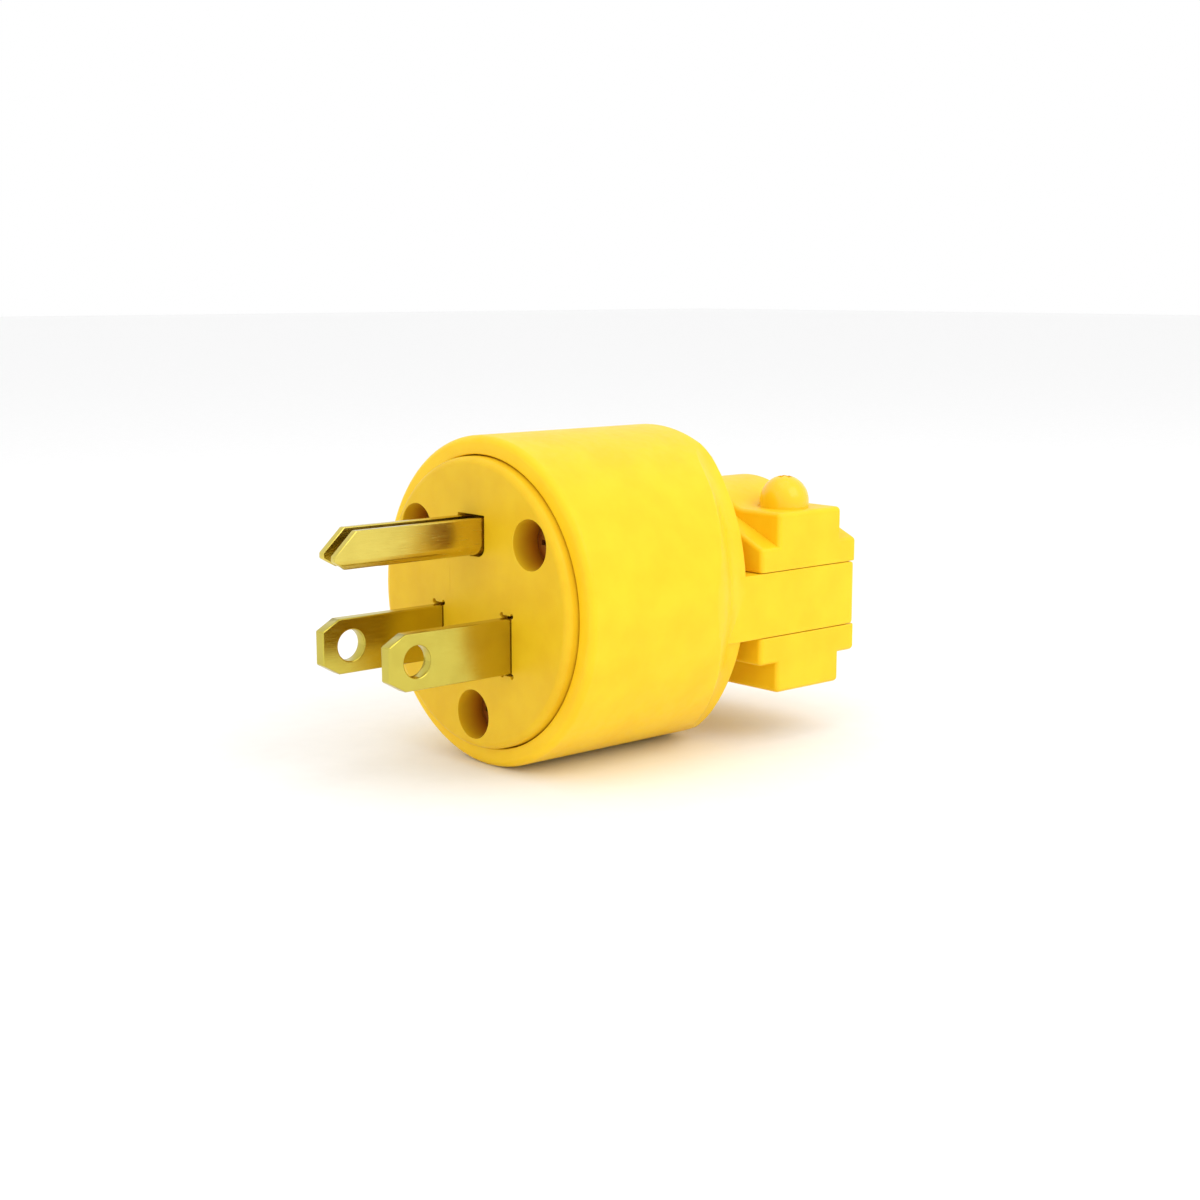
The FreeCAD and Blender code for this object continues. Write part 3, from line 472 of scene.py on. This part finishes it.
def refined(node: str, edge_break: float, material: bpy.types.Material) -> bpy.types.Object:
    """Makes a clean copy of a CAD node with its sharp outer edges broken.

    Args:
        node: The CAD node to copy.
        edge_break: Width of the rounding on its edges.
        material: The material it wears.

    Returns:
        The copy, whose point attribute "edge" is one along the rounded edges.
    """
    source = frame["nodes"][node].data
    shape = bmesh.new()
    points = [shape.verts.new(vertex.co) for vertex in source.vertices]
    for polygon in source.polygons:
        shape.faces.new([points[index] for index in polygon.vertices])
    bmesh.ops.remove_doubles(shape, verts=shape.verts, dist=MERGE)
    bmesh.ops.dissolve_degenerate(shape, edges=shape.edges, dist=MERGE)
    bmesh.ops.dissolve_limit(shape, angle_limit=math.radians(0.8), verts=shape.verts, edges=shape.edges)
    mark = shape.verts.layers.float.new("edge")
    sharp = [
        edge for edge in shape.edges
        if len(edge.link_faces) == 2 and edge.is_convex and edge.calc_face_angle() > math.radians(32)
    ]
    made = bmesh.ops.bevel(shape, geom=sharp, offset=edge_break, offset_type="OFFSET", segments=2,
                           profile=0.5, affect="EDGES", clamp_overlap=False, loop_slide=True)
    rounded = set(made["faces"])
    for vertex in shape.verts:
        vertex[mark] = float(bool(vertex.link_faces) and rounded.issuperset(vertex.link_faces))
    mesh = bpy.data.meshes.new(node)
    shape.to_mesh(mesh)
    shape.free()
    mesh.materials.append(material)
    smooth(mesh, 50.0)
    piece = show(mesh, f"{node}_body")
    weighted = piece.modifiers.new("flat_faces", "WEIGHTED_NORMAL")
    weighted.keep_sharp = True
    return piece


def grown(tree: bpy.types.NodeTree, name: str, inputs: dict[str, Any], place: Matrix) -> bpy.types.Object:
    """Runs a Geometry Nodes tree and turns its result into a plain piece.

    Args:
        tree: The tree to run.
        name: The piece's name.
        inputs: Values for the tree's named inputs.
        place: Where the result goes, baked into its mesh.

    Returns:
        The piece.
    """
    seed = show(bpy.data.meshes.new(f"{name}_seed"), f"{name}_seed")
    modifier = seed.modifiers.new("grow", "NODES")
    modifier.node_group = tree
    for title, value in inputs.items():
        modifier[tree.interface.items_tree[title].identifier] = value
    ready = seed.evaluated_get(bpy.context.evaluated_depsgraph_get())
    mesh = bpy.data.meshes.new_from_object(ready)
    mesh.name = name
    seed.modifiers.clear()
    bpy.data.objects.remove(seed)
    mesh.transform(place)
    smooth(mesh)
    return show(mesh, name)


def turned(build: Wiring, columns: int, rows: Any) -> tuple[Any, Any, Any]:
    """Adds the grid that a turned shape is rolled from.

    Args:
        build: The tree's wiring.
        columns: Faces round the axis.
        rows: Faces along the outline.

    Returns:
        The grid, the fraction round the axis, and the fraction along the outline.
    """
    count = build.math("ADD", rows, 1) if isinstance(rows, bpy.types.NodeSocket) else rows + 1
    grid = build.add(
        "GeometryNodeMeshGrid",
        {"Size X": 1.0, "Size Y": 1.0, "Vertices X": columns + 1, "Vertices Y": count},
    )
    axes = build.add("ShaderNodeSeparateXYZ", {0: build.add("GeometryNodeInputPosition").outputs[0]})
    around, along = (build.math("ADD", axes.outputs[index], 0.5) for index in (0, 1))
    return grid.outputs["Mesh"], around, along


def roll(build: Wiring, grid: Any, around: Any, radius: Any, height: Any) -> Any:
    """Rolls a grid about the axis and closes its seam and ends.

    Args:
        build: The tree's wiring.
        grid: The flat grid.
        around: The fraction round the axis.
        radius: The distance from the axis.
        height: The height along it.

    Returns:
        The closed shape.
    """
    angle = build.math("MULTIPLY", around, -math.tau)
    spot = build.add("ShaderNodeCombineXYZ", {
        "X": build.math("MULTIPLY", radius, build.math("COSINE", angle)),
        "Y": build.math("MULTIPLY", radius, build.math("SINE", angle)),
        "Z": height,
    }).outputs[0]
    placed = build.add("GeometryNodeSetPosition", {"Geometry": grid, "Position": spot}).outputs[0]
    return build.add("GeometryNodeMergeByDistance", {"Geometry": placed, "Distance": MERGE}).outputs[0]


def close_tree(build: Wiring, geometry: Any) -> bpy.types.NodeTree:
    """Ends a Geometry Nodes tree with real geometry and its material."""
    real = build.add("GeometryNodeRealizeInstances", {"Geometry": geometry}).outputs[0]
    dressed = build.add("GeometryNodeSetMaterial", {"Geometry": real, "Material": build.given("Material")})
    build.finish(Geometry=dressed.outputs[0])
    return build.tree


def start_tree(name: str, lengths: Iterable[str], counts: Iterable[str] = ()) -> Wiring:
    """Starts a Geometry Nodes tree.

    Args:
        name: The tree's name.
        lengths: Names of its lengths and plain numbers.
        counts: Names of its whole numbers.

    Returns:
        The tree's wiring.
    """
    build = Wiring(bpy.data.node_groups.new(name, "GeometryNodeTree"))
    for title in lengths:
        build.inlet(title)
    for title in counts:
        build.inlet(title, "Int")
    build.inlet("Material", "Material")
    build.outlet("Geometry", "Geometry")
    return build


def screw_head(build: Wiring) -> Any:
    """Adds a head whose crown runs from a round dome to a flat pan, as Crown Power falls."""
    grid, around, along = turned(build, 48, 30)
    radius, height, skirt = (build.given(f"Head {part}") for part in ("Radius", "Height", "Skirt"))
    power = build.given("Crown Power")
    crown = build.math("MULTIPLY", build.math("DIVIDE", along, 0.6, clamp=True), math.pi / 2)
    side = build.span(along, 0.6, 0.8, 0.0, 1.0)
    under = build.span(along, 0.8, 1.0, 1.0, 0.0)
    out = build.math("POWER", build.math("SINE", crown, clamp=True), power)
    rise = build.math("POWER", build.math("COSINE", crown, clamp=True), power)
    reach = build.math("MULTIPLY", build.math("MULTIPLY", radius, out), under)
    domed = build.math("MULTIPLY", build.math("SUBTRACT", height, skirt), rise)
    lifted = build.math("MULTIPLY", skirt, build.math("SUBTRACT", 1.0, side))
    return roll(build, grid, around, reach, build.math("ADD", domed, lifted))


def threaded_shank(build: Wiring) -> Any:
    """Adds a shank with a right-hand vee thread that fades out at both ends."""
    rows_a_turn = 6
    pitch, turns, length = (build.given(name) for name in ("Pitch", "Turns", "Shank Length"))
    rows = build.math("MULTIPLY", turns, rows_a_turn)
    grid, around, along = turned(build, 24, rows)
    wound = build.math("MULTIPLY", along, turns)
    raw = build.math("MULTIPLY", build.math("SUBTRACT", build.math("ADD", wound, around), 1.0), pitch)
    sunk = build.math("MINIMUM", build.math("MAXIMUM", raw, 0.0), length)
    swing = build.math("SUBTRACT", build.math("MULTIPLY", build.math("FRACT", wound), 2.0), 1.0)
    vee = build.math("SUBTRACT", 1.0, build.math("ABSOLUTE", swing))
    fade_in = build.math("DIVIDE", sunk, pitch, clamp=True)
    fade_out = build.math("DIVIDE", build.math("SUBTRACT", length, sunk), pitch, clamp=True)
    depth = build.given("Thread Depth")
    fade = build.math("MULTIPLY", fade_in, fade_out)
    relief = build.math("MULTIPLY", build.math("MULTIPLY", vee, depth), fade)
    core = build.math("SUBTRACT", build.given("Shank Radius"), depth)
    inside = build.math("COMPARE", along, 0.5, 0.4999)
    radius = build.math("MULTIPLY", build.math("ADD", core, relief), inside)
    return roll(build, grid, around, radius, build.math("MULTIPLY", sunk, -1.0))


WEDGE_TAPER = (0.62, 0.62, 1.0)  # how far the foot of a driver recess narrows


def cross_cutter(build: Wiring) -> list[Any]:
    """Adds the two crossed wedges that sink a driver recess into a head."""
    height, depth = build.given("Head Height"), build.given("Recess Depth")
    long_side, short_side = build.given("Recess Reach"), build.given("Recess Width")
    raised = build.add("ShaderNodeCombineXYZ", {"Z": height}).outputs[0]
    tall = build.math("MULTIPLY", depth, 2.0)
    cutters = []
    for width, breadth in ((long_side, short_side), (short_side, long_side)):
        size = build.add("ShaderNodeCombineXYZ", {"X": width, "Y": breadth, "Z": tall})
        cube = build.add("GeometryNodeMeshCube", {"Size": size.outputs[0]}).outputs["Mesh"]
        spot = build.add("GeometryNodeInputPosition").outputs[0]
        low = build.math("LESS_THAN", build.add("ShaderNodeSeparateXYZ", {0: spot}).outputs[2], 0.0)
        narrow = build.add("ShaderNodeVectorMath", {0: spot, 1: WEDGE_TAPER}, operation="MULTIPLY").outputs[0]
        wedge = build.add("GeometryNodeSetPosition", {"Geometry": cube, "Selection": low, "Position": narrow})
        cutter = build.add("GeometryNodeTransform", {"Geometry": wedge.outputs[0], "Translation": raised})
        cutters.append(cutter.outputs[0])
    return cutters


def screw_tree() -> bpy.types.NodeTree:
    """Builds the tree for every screw: head, driver recess and thread."""
    build = start_tree("machine_screw", (
        "Head Radius", "Head Height", "Head Skirt", "Crown Power", "Recess Reach", "Recess Width",
        "Recess Depth", "Shank Radius", "Shank Length", "Pitch", "Thread Depth",
    ), ("Turns",))
    cut = build.add("GeometryNodeMeshBoolean", operation="DIFFERENCE", solver="MANIFOLD")
    build.feed(cut.inputs["Mesh 1"], screw_head(build))
    build.feed(cut.inputs["Mesh 2"], cross_cutter(build))
    whole = build.add("GeometryNodeJoinGeometry", {"Geometry": [cut.outputs["Mesh"], threaded_shank(build)]})
    return close_tree(build, whole.outputs[0])


def nut_tree() -> bpy.types.NodeTree:
    """Builds the tree for a hexagon nut with chamfered corners."""
    build = start_tree("hexagon_nut", ("Corner Radius", "Height", "Bore Radius"))
    corner, height, bore = (build.given(name) for name in ("Corner Radius", "Height", "Bore Radius"))
    prism = build.add("GeometryNodeMeshCylinder", {"Vertices": 6, "Radius": corner, "Depth": height})
    ball = build.add("GeometryNodeMeshUVSphere", {"Segments": 48, "Rings": 32, "Radius": 1.0}).outputs["Mesh"]
    wide = build.math("MULTIPLY", corner, 1.02)
    tall = build.math("MULTIPLY", height, 0.96)
    girth = build.add("ShaderNodeCombineXYZ", {"X": wide, "Y": wide, "Z": tall})
    chamfer = build.add("GeometryNodeTransform", {"Geometry": ball, "Scale": girth.outputs[0]}).outputs[0]
    eased = build.add("GeometryNodeMeshBoolean", operation="INTERSECT", solver="MANIFOLD")
    build.feed(eased.inputs["Mesh 2"], [prism.outputs["Mesh"], chamfer])
    drill = build.add("GeometryNodeMeshCylinder", {
        "Vertices": 40, "Radius": bore, "Depth": build.math("MULTIPLY", height, 2.0),
    })
    bored = build.add("GeometryNodeMeshBoolean", operation="DIFFERENCE", solver="MANIFOLD")
    build.feed(bored.inputs["Mesh 1"], eased.outputs["Mesh"])
    build.feed(bored.inputs["Mesh 2"], drill.outputs["Mesh"])
    return close_tree(build, bored.outputs["Mesh"])


def insert_tree() -> bpy.types.NodeTree:
    """Builds the tree for a knurled insert with a groove round its middle."""
    build = start_tree("knurled_insert", (
        "Outer Radius", "Bore Radius", "Length", "Knurl Depth", "Groove Depth",
    ), ("Ridges",))
    grid, around, along = turned(build, 120, 40)
    outer, bore, length = (build.given(name) for name in ("Outer Radius", "Bore Radius", "Length"))
    quarter = build.math("MULTIPLY", along, 4.0)
    steps = [build.math("SUBTRACT", quarter, float(number), clamp=True) for number in range(4)]
    down = build.math("SUBTRACT", steps[0], steps[2])
    inward = build.math("SUBTRACT", steps[1], steps[3])
    phase = build.math("FRACT", build.math("MULTIPLY", around, build.given("Ridges")))
    ridge = build.math("ABSOLUTE", build.math("SUBTRACT", build.math("MULTIPLY", phase, 2.0), 1.0))
    knurl = build.math("MULTIPLY", ridge, build.given("Knurl Depth"))
    middle = build.math("COMPARE", down, 0.5, 0.16)
    groove = build.math("MULTIPLY", middle, build.given("Groove Depth"))
    wall = build.math("SUBTRACT", outer, build.math("MAXIMUM", knurl, groove))
    radius = build.add("ShaderNodeMix", {0: inward, 2: wall, 3: bore}).outputs[0]
    depth = build.math("MULTIPLY", build.math("MULTIPLY", down, length), -1.0)
    return close_tree(build, roll(build, grid, around, radius, depth))


# ---- the plug's sub-assemblies ----------------------------------------------------------------


@dataclass
class Workshop:
    """What every sub-assembly needs: the finishes and the Geometry Nodes trees."""

    materials: dict[Slot, bpy.types.Material]
    screw: bpy.types.NodeTree = field(default_factory=screw_tree)
    nut: bpy.types.NodeTree = field(default_factory=nut_tree)
    insert: bpy.types.NodeTree = field(default_factory=insert_tree)


@dataclass
class Screws:
    """A set of like screws, each one grown where its CAD node stands."""

    head_height: float
    head_skirt: float
    crown_power: float
    recess_reach: float
    recess_width: float
    recess_depth: float
    shank_radius: float
    pitch: float = 25.4 * MM / 32
    thread_depth: float = 0.28 * MM

    def make(self, shop: Workshop, node: str, facing: Facing, slot: Slot) -> bpy.types.Object:
        """Grows one screw in place of its CAD node.

        Args:
            shop: The finishes and trees.
            node: The CAD node.
            facing: The way its head faces.
            slot: Its material slot.

        Returns:
            The screw.
        """
        low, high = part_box(node)
        way = Vector(facing.value)
        axis = max(range(3), key=lambda index: abs(way[index]))
        across = (axis + 1) % 3
        centre = (low + high) / 2
        reach = high[axis] - low[axis]
        foot = centre + way * (reach / 2 - self.head_height)
        length = reach - self.head_height
        place = Matrix.Translation(foot) @ way.to_track_quat("Z", "Y").to_matrix().to_4x4()
        piece = grown(shop.screw, f"{node}_turned", {
            "Head Radius": (high[across] - low[across]) / 2,
            "Head Height": self.head_height,
            "Head Skirt": self.head_skirt,
            "Crown Power": self.crown_power,
            "Recess Reach": self.recess_reach,
            "Recess Width": self.recess_width,
            "Recess Depth": self.recess_depth,
            "Shank Radius": self.shank_radius,
            "Shank Length": length,
            "Pitch": self.pitch,
            "Thread Depth": self.thread_depth,
            "Turns": math.ceil(length / self.pitch) + 1,
            "Material": shop.materials[slot],
        }, place)
        return settle(piece, node)


@dataclass
class Housing:
    """The round vinyl housing and the three brass inserts moulded into it."""

    edge_break: float = 0.16 * MM
    insert_outer: float = 2.6 * MM
    insert_bore: float = 1.82 * MM
    knurl_depth: float = 0.18 * MM
    groove_depth: float = 0.4 * MM
    ridges: int = 30

    def build(self, shop: Workshop) -> list[bpy.types.Object]:
        """Builds the housing and its inserts and returns them."""
        shell = refined("housing", self.edge_break, shop.materials[Slot.HOUSING])
        pieces = [settle(shell, "housing")]
        for side in ("right", "left", "bottom"):
            pieces.append(self.insert(shop, f"insert_{side}"))
        return pieces

    def insert(self, shop: Workshop, node: str) -> bpy.types.Object:
        """Builds one knurled insert, its bore along Y."""
        low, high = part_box(node)
        front = Vector(((low.x + high.x) / 2, low.y, (low.z + high.z) / 2))
        place = Matrix.Translation(front) @ Vector((0, -1, 0)).to_track_quat("Z", "Y").to_matrix().to_4x4()
        piece = grown(shop.insert, f"{node}_knurled", {
            "Outer Radius": self.insert_outer,
            "Bore Radius": self.insert_bore,
            "Length": high.y - low.y,
            "Knurl Depth": self.knurl_depth,
            "Groove Depth": self.groove_depth,
            "Ridges": self.ridges,
            "Material": shop.materials[Slot.INSERT],
        }, place)
        return settle(piece, node)


@dataclass
class Face:
    """The face plate, the block behind it and the screws in its wells."""

    plate_break: float = 0.05 * MM
    block_break: float = 0.15 * MM
    screws: Screws = field(default_factory=lambda: Screws(
        head_height=1.6 * MM, head_skirt=0.55 * MM, crown_power=0.6, recess_reach=3.1 * MM,
        recess_width=0.75 * MM, recess_depth=1.0 * MM, shank_radius=1.75 * MM,
    ))

    def build(self, shop: Workshop) -> list[bpy.types.Object]:
        """Builds the face and its screws and returns them."""
        plate = refined("face_plate", self.plate_break, shop.materials[Slot.FACE])
        block = refined("terminal_block", self.block_break, shop.materials[Slot.BLOCK])
        pieces = [settle(plate, "face_plate"), settle(block, "terminal_block")]
        for side in ("right", "left", "bottom"):
            pieces.append(self.screws.make(shop, f"face_screw_{side}", Facing.FRONT, Slot.FACE_SCREW))
        return pieces


@dataclass
class Prongs:
    """The two flat blades and the folded ground pin."""

    blade_break: float = 0.16 * MM
    pin_break: float = 0.14 * MM

    def build(self, shop: Workshop) -> list[bpy.types.Object]:
        """Builds the three prongs and returns them."""
        pieces = [
            settle(refined(node, self.blade_break, shop.materials[Slot.BLADE]), node)
            for node in ("hot_blade", "neutral_blade")
        ]
        pin = refined("ground_pin", self.pin_break, shop.materials[Slot.PIN])
        return [*pieces, settle(pin, "ground_pin")]


@dataclass
class Terminals:
    """The wire plates inside the housing and the screws that draw them down."""

    plate_break: float = 0.12 * MM
    screws: Screws = field(default_factory=lambda: Screws(
        head_height=2.2 * MM, head_skirt=1.1 * MM, crown_power=0.45, recess_reach=4.6 * MM,
        recess_width=0.95 * MM, recess_depth=1.2 * MM, shank_radius=2.08 * MM,
    ))

    def build(self, shop: Workshop) -> list[bpy.types.Object]:
        """Builds the three terminals and returns their pieces."""
        pieces = []
        for name, facing, slot in (
            ("hot", Facing.RIGHT, Slot.HOT_SCREW),
            ("neutral", Facing.LEFT, Slot.NEUTRAL_SCREW),
            ("ground", Facing.UP, Slot.GROUND_SCREW),
        ):
            plate = refined(f"{name}_wire_plate", self.plate_break, shop.materials[Slot.WIRE_PLATE])
            pieces.append(settle(plate, f"{name}_wire_plate"))
            pieces.append(self.screws.make(shop, f"{name}_terminal_screw", facing, slot))
        return pieces


@dataclass
class Clamp:
    """The cord clamp: two jaws, and two screws that draw them together on captive nuts."""

    jaw_break: float = 0.14 * MM
    nut_bore: float = 1.82 * MM
    screws: Screws = field(default_factory=lambda: Screws(
        head_height=4.0 * MM, head_skirt=0.8 * MM, crown_power=1.0, recess_reach=2.6 * MM,
        recess_width=0.85 * MM, recess_depth=1.05 * MM, shank_radius=1.75 * MM,
    ))

    def build(self, shop: Workshop) -> list[bpy.types.Object]:
        """Builds the clamp and returns its pieces."""
        pieces = [
            settle(refined(node, self.jaw_break, shop.materials[Slot.CLAMP]), node)
            for node in ("upper_jaw", "lower_jaw")
        ]
        for side in ("near", "far"):
            pieces.append(self.screws.make(shop, f"{side}_clamp_screw", Facing.UP, Slot.CLAMP_SCREW))
            pieces.append(self.nut(shop, f"{side}_clamp_nut"))
        return pieces

    def nut(self, shop: Workshop, node: str) -> bpy.types.Object:
        """Builds one nut, with two of its corners along Y."""
        low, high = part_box(node)
        place = Matrix.Translation((low + high) / 2) @ Matrix.Rotation(math.pi / 6, 4, "Z")
        piece = grown(shop.nut, f"{node}_faced", {
            "Corner Radius": (high.y - low.y) / 2,
            "Height": high.z - low.z,
            "Bore Radius": self.nut_bore,
            "Material": shop.materials[Slot.NUT],
        }, place)
        return settle(piece, node)


# ---- the studio -------------------------------------------------------------------------------


@dataclass(frozen=True)
class Lamp:
    """A square soft light that looks at the plug."""

    name: str
    azimuth: float
    elevation: float
    distance: float
    side: float
    power: float

    def hang(self, target: Vector) -> None:
        """Hangs the light and turns it to the target."""
        data = bpy.data.lights.new(self.name, "AREA")
        data.size = self.side
        data.energy = self.power
        lamp = bpy.data.objects.new(self.name, data)
        back = Studio.towards(self.azimuth, self.elevation)
        lamp.location = target + back * self.distance
        lamp.rotation_mode = "QUATERNION"
        lamp.rotation_quaternion = (-back).to_track_quat("-Z", "Y")
        bpy.context.scene.collection.objects.link(lamp)


@dataclass
class Studio:
    """The floor, the lights and the camera."""

    azimuth: float = 48.42
    elevation: float = 9.53
    distance: float = 230.0 * MM
    target: Vector = field(default_factory=lambda: Vector((0.0, 19.77, -1.73)) * MM)
    lens: float = 56.42
    sky: float = 1.0
    floor_side: float = 6.0
    lamps: tuple[Lamp, ...] = (
        Lamp("key_light", 100.0, 38.0, 0.45, 0.30, 0.55),
        Lamp("front_light", 15.0, 25.0, 0.50, 0.40, 0.12),
        Lamp("top_light", 60.0, 80.0, 0.45, 0.35, 0.25),
    )

    @staticmethod
    def towards(azimuth: float, elevation: float) -> Vector:
        """Returns the way from the plug to a station, with azimuth 0 in front of its face."""
        turn, lift = math.radians(azimuth), math.radians(elevation)
        return Vector((math.sin(turn) * math.cos(lift), -math.cos(turn) * math.cos(lift), math.sin(lift)))

    def build(self) -> None:
        """Sets the whole studio up."""
        self.lay_floor()
        self.light_sky()
        for lamp in self.lamps:
            lamp.hang(self.target)
        self.set_camera()

    def lay_floor(self) -> None:
        """Lays a pale floor just under the plug."""
        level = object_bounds()[0].z
        half = self.floor_side / 2
        mesh = bpy.data.meshes.new("floor")
        corners = [(-half, -half, level), (half, -half, level), (half, half, level), (-half, half, level)]
        mesh.from_pydata(corners, [], [(0, 1, 2, 3)])
        material, build, shader, place = start_material("pale_paper")
        fleck = build.span(build.noise(place, 400.0, 3.0), 0.3, 0.7, 0.0, 1.0)
        build.feed(shader.inputs["Base Color"], build.tint(fleck, (0.93, 0.93, 0.93), (0.95, 0.95, 0.95)))
        shader.inputs["Roughness"].default_value = 0.9
        mesh.materials.append(material)
        show(mesh, "floor")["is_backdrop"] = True

    def light_sky(self) -> None:
        """Lights the room with an even white sky."""
        world = bpy.data.worlds.new("sky")
        world.use_nodes = True
        shade = world.node_tree.nodes["Background"]
        shade.inputs["Color"].default_value = (1.0, 1.0, 1.0, 1.0)
        shade.inputs["Strength"].default_value = self.sky
        bpy.context.scene.world = world
        bpy.context.scene.view_settings.view_transform = "Standard"

    def set_camera(self) -> None:
        """Sets the camera at its station."""
        data = bpy.data.cameras.new("camera")
        data.lens = self.lens
        data.sensor_width = 36.0
        data.clip_start = 0.01
        camera = bpy.data.objects.new("camera", data)
        back = self.towards(self.azimuth, self.elevation)
        camera.location = self.target + back * self.distance
        camera.rotation_mode = "QUATERNION"
        camera.rotation_quaternion = (-back).to_track_quat("-Z", "Y")
        bpy.context.scene.collection.objects.link(camera)
        bpy.context.scene.camera = camera


def corners() -> list[list[float]]:
    """Returns the lowest and highest corner of what is shown, as plain lists."""
    return [list(corner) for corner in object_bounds()]


def main() -> None:
    """Builds the plug and the studio."""
    logging.basicConfig(level=logging.INFO, format="%(message)s")
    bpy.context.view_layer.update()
    effects = Effects()
    shop = Workshop({slot: finish.material(effects) for slot, finish in FINISHES.items()})
    for assembly in (Housing(), Face(), Prongs(), Terminals(), Clamp()):
        for piece in assembly.build(shop):
            LOG.info("%s: %s, %d faces", type(assembly).__name__, piece.name, len(piece.data.polygons))
    Studio().build()


if __name__ == "__main__":
    main()
